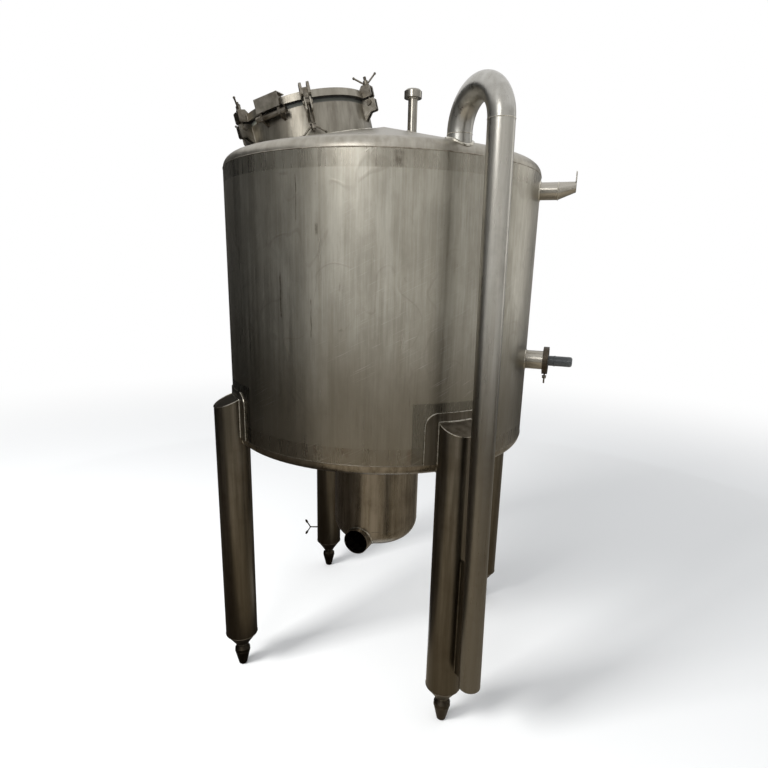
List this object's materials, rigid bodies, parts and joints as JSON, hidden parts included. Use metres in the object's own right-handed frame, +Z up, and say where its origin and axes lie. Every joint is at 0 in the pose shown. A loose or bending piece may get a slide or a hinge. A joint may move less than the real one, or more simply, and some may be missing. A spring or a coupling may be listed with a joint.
{
  "type": "balance tank",
  "caption": "Upright stainless steel balance tank with conical ends, side-hung sump outlet, clamped manway, gooseneck overflow and adjustable feet.",
  "frame": {"origin": "on the floor under the middle of the outline", "axes": "+Z up; -Y is the side with the sump outlet; +X is the side with the two side nozzles"},
  "size_m": [1.3804, 1.2, 2.3537],
  "materials": {
    "tank_steel": "dull brushed stainless with weld seams and dirt",
    "leg_steel": "dull stainless tube, darker and dirty",
    "polished_tube": "smooth drawn tube",
    "clamp_steel": "cut plate and rod",
    "gasket": "black rubber",
    "probe": "dark grey"
  },
  "bodies": {
    "tank": {"bottom_head": "tank_steel", "foot_1": "leg_steel", "foot_2": "leg_steel", "foot_3": "leg_steel", "foot_4": "leg_steel", "hinge_bracket": "clamp_steel", "hinge_cover": "clamp_steel", "leg_1": "leg_steel", "leg_2": "leg_steel", "leg_3": "leg_steel", "leg_4": "leg_steel", "leg_pad_1": "leg_steel", "leg_pad_2": "leg_steel", "leg_pad_3": "leg_steel", "leg_pad_4": "leg_steel", "leg_screw": "leg_steel", "level_probe": "probe", "lid_forks": "clamp_steel", "lower_nozzle": "tank_steel", "manway_gasket": "gasket", "manway_lid": "tank_steel", "manway_neck": "tank_steel", "neck_lugs": "clamp_steel", "overflow_bend": "polished_tube", "overflow_pipe": "polished_tube", "pipe_stay": "leg_steel", "probe_clamp": "clamp_steel", "shell": "tank_steel", "sump_bottom": "tank_steel", "sump_outlet": "tank_steel", "sump_shell": "tank_steel", "swing_bolt_2": "clamp_steel", "swing_bolt_3": "clamp_steel", "swing_bolt_4": "clamp_steel", "swing_bolt_5": "clamp_steel", "swing_bolt_6": "clamp_steel", "top_head": "tank_steel", "upper_nozzle": "tank_steel", "upper_reducer": "tank_steel", "vent_cap": "tank_steel", "vent_stub": "tank_steel"},
    "released_bolt": {"swing_bolt_1": "clamp_steel"}
  },
  "joints": [
    {"name": "released_bolt_swing", "type": "hinge", "parent": "tank", "child": "released_bolt", "pos_m": [-0.25988, -0.29495, 2.20495], "axis": [-0.8561, -0.4563, -0.2428], "range_deg": [-3, 184]}
  ]
}
